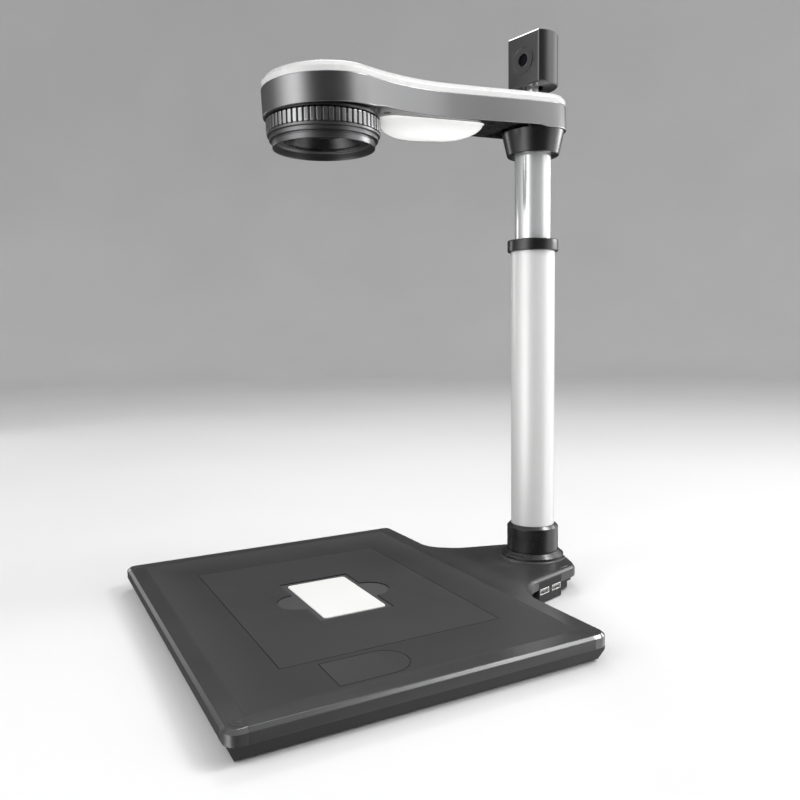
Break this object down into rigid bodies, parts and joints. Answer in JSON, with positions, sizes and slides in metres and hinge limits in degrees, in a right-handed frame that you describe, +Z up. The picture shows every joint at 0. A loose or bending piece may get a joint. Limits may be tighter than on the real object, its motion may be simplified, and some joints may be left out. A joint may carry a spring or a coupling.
{
  "type": "document camera",
  "caption": "Desk document camera: flat document board, telescopic column that swivels, arm with a downward focusing camera and lamp, and a small tilting front camera.",
  "frame": {"origin": "centre of the document board's footprint, on the table", "axes": "+Z up, +Y from the board toward the column, +X toward the side with the two ports"},
  "size_m": [0.354, 0.381, 0.5085],
  "materials": {
    "charcoal_plastic": "fine texture",
    "black_plastic": "fine texture",
    "mat_plastic": "fine grain",
    "foot_rubber": "matte",
    "plated_steel": "zinc plated",
    "black_steel": "blackened",
    "bright_nickel": "bright",
    "white_plastic": "plain",
    "circuit_board": "lacquered",
    "card_stock": "smooth",
    "bush_bronze": "sintered",
    "satin_aluminium": "satin",
    "bright_chrome": "polished",
    "satin_silver": "satin silver",
    "gloss_white": "gloss",
    "lamp_white": "translucent",
    "white_board": "lacquered",
    "led_yellow": "resin",
    "anodised_dark": "black anodised",
    "lens_glass": "coated"
  },
  "bodies": {
    "base": {"base_top_cover": "charcoal_plastic", "base_bottom_cover": "black_plastic", "ballast_plate": "plated_steel", "document_mat": "mat_plastic", "corner_caps": "charcoal_plastic", "rubber_feet": "foot_rubber", "base_screws": "plated_steel", "port_panel": "charcoal_plastic", "usb_shells": "bright_nickel", "usb_tongues": "white_plastic", "hub_board": "circuit_board", "uplink_socket": "bright_nickel", "column_flange": "black_plastic", "seat_plate": "plated_steel", "swivel_spindle": "plated_steel", "spindle_nut": "plated_steel", "spindle_washer": "plated_steel"},
    "card": {"sample_card": "card_stock"},
    "column": {"swivel_bush": "bush_bronze", "swivel_collar": "black_plastic", "outer_tube": "satin_aluminium", "end_ring": "black_plastic", "guide_bush": "white_plastic"},
    "mast": {"inner_tube": "bright_chrome", "slider_bush": "white_plastic", "slide_key": "plated_steel", "arm_socket": "black_plastic", "socket_screws": "plated_steel", "arm_side_frame": "satin_silver", "arm_top_cover": "gloss_white", "arm_bottom_cover": "black_plastic", "cover_screws": "black_steel", "lamp_diffuser": "lamp_white", "lamp_board": "white_board", "lamp_leds": "led_yellow", "main_board": "circuit_board", "lens_mount": "black_plastic", "mount_screws": "plated_steel", "sensor_board": "circuit_board", "lens_hood": "anodised_dark", "aux_mount": "black_plastic"},
    "focus": {"focus_ring": "anodised_dark", "focus_pin": "plated_steel"},
    "lens": {"lens_barrel": "anodised_dark", "lens_front_glass": "lens_glass", "lens_rear_glass": "lens_glass"},
    "aux_yoke": {"aux_stem": "bright_chrome", "aux_clip": "plated_steel"},
    "aux_head": {"aux_tilt_pin": "plated_steel", "aux_back_shell": "charcoal_plastic", "aux_front_shell": "charcoal_plastic", "aux_lens_ring": "black_plastic", "aux_lens_glass": "lens_glass", "aux_board": "circuit_board"}
  },
  "joints": [
    {"name": "card_lift", "type": "slide", "parent": "base", "child": "card", "axis": [0, 0, 1], "range_m": [0, 0.06]},
    {"name": "column_swivel", "type": "hinge", "parent": "base", "child": "column", "pos_m": [0, 0.209, 0.035], "axis": [0, 0, 1], "range_deg": [-90, 90]},
    {"name": "column_lift", "type": "slide", "parent": "column", "child": "mast", "axis": [0, 0, 1], "range_m": [-0.075, 0.085]},
    {"name": "focus_turn", "type": "hinge", "parent": "mast", "child": "focus", "pos_m": [0, 0, 0.404], "axis": [0, 0, 1], "range_deg": [-60, 60]},
    {"name": "lens_slide", "type": "slide", "parent": "mast", "child": "lens", "axis": [0, 0, 1], "range_m": [-0.0015, 0.0015]},
    {"name": "aux_pan", "type": "hinge", "parent": "mast", "child": "aux_yoke", "pos_m": [0, 0.209, 0.456], "axis": [0, 0, 1], "range_deg": [-101, 79]},
    {"name": "aux_tilt", "type": "hinge", "parent": "aux_yoke", "child": "aux_head", "pos_m": [0, 0.209, 0.471], "axis": [0.9816, 0.1908, 0], "range_deg": [-20, 20]}
  ],
  "couplings": [
    {"joint": "lens_slide", "follows": "focus_turn", "m_per_rad": 0.0014324}
  ]
}
